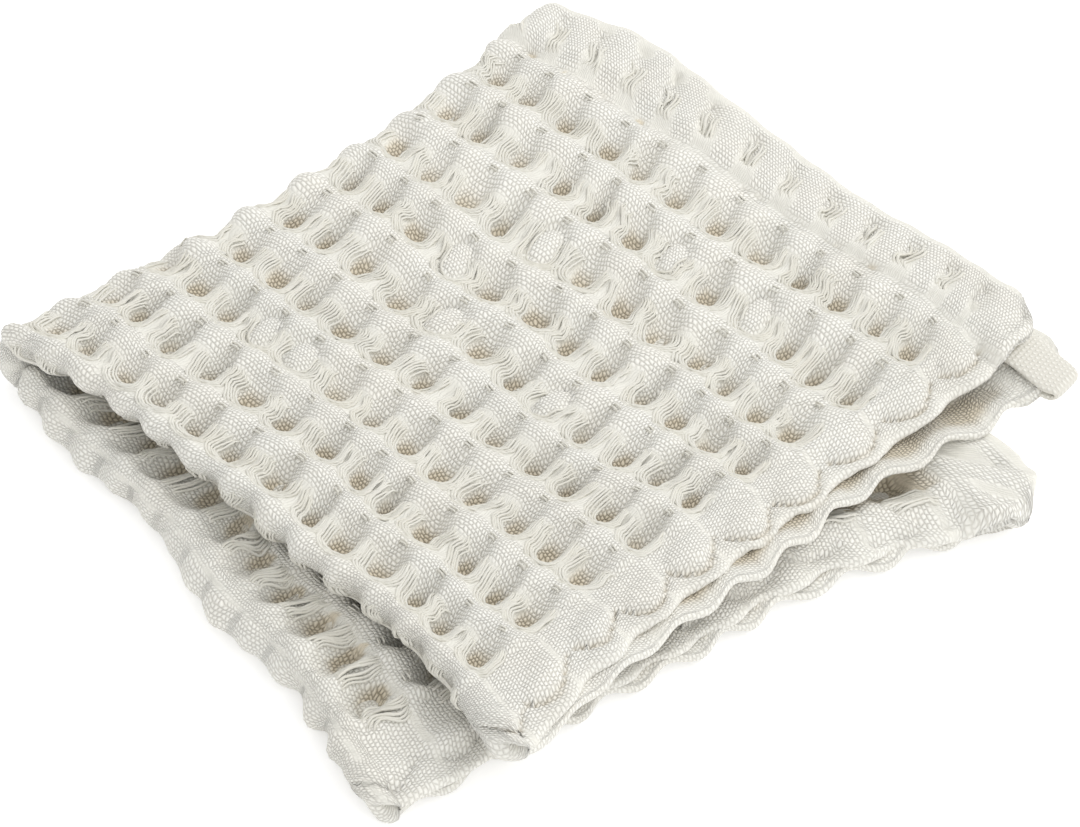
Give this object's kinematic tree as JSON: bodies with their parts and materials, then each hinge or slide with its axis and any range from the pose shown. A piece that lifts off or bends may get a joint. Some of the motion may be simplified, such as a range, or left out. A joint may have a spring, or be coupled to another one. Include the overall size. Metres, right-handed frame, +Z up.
{
  "type": "folded bath towel",
  "caption": "Small square waffle-woven cotton bath towel, folded once each way into a flat stack of layers, with a tape hanging loop at its corner.",
  "frame": {"origin": "middle of the object's box, on the surface that the towel lies on", "axes": "+Z up from the surface; +X from the second fold to the selvedges; +Y from the first fold to the hems"},
  "size_m": [0.1816, 0.1962, 0.025],
  "materials": {
    "waffle_cotton": "matte undyed cotton, deep waffle weave with long floats",
    "woven_tape": "matte undyed cotton, ribbed woven tape"
  },
  "bodies": {
    "root": {"towel_cloth": "waffle_cotton", "hanging_loop": "woven_tape"}
  },
  "joints": []
}
